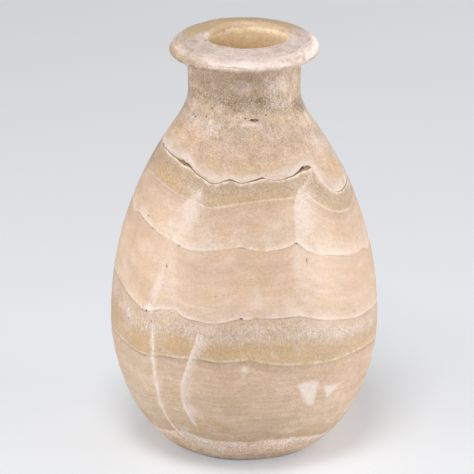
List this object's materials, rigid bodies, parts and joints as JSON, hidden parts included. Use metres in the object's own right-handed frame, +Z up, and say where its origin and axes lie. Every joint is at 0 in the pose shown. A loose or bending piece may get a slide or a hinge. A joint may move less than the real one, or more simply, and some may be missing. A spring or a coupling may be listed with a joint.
{
  "type": "stone vase",
  "caption": "Egg-shaped ancient Egyptian vase carved from banded calcite, with a short straight neck, a rounded disc lip, a flat base and a natural parting along its shoulder.",
  "frame": {"origin": "middle of the flat underside, in the plane that the vase stands on", "axes": "+Z up along the vessel's axis, -Y towards the pictured side"},
  "size_m": [0.156, 0.156, 0.246],
  "materials": {
    "calcite": "honed banded calcite, softly worn, slightly translucent",
    "burial_earth": "dry compacted earth, dull and granular"
  },
  "bodies": {
    "root": {"vase_body": "calcite", "earth_in_left_edge_hole": "burial_earth", "earth_in_left_void": "burial_earth", "earth_in_right_void": "burial_earth", "earth_in_neck_pit": "burial_earth"}
  },
  "joints": []
}
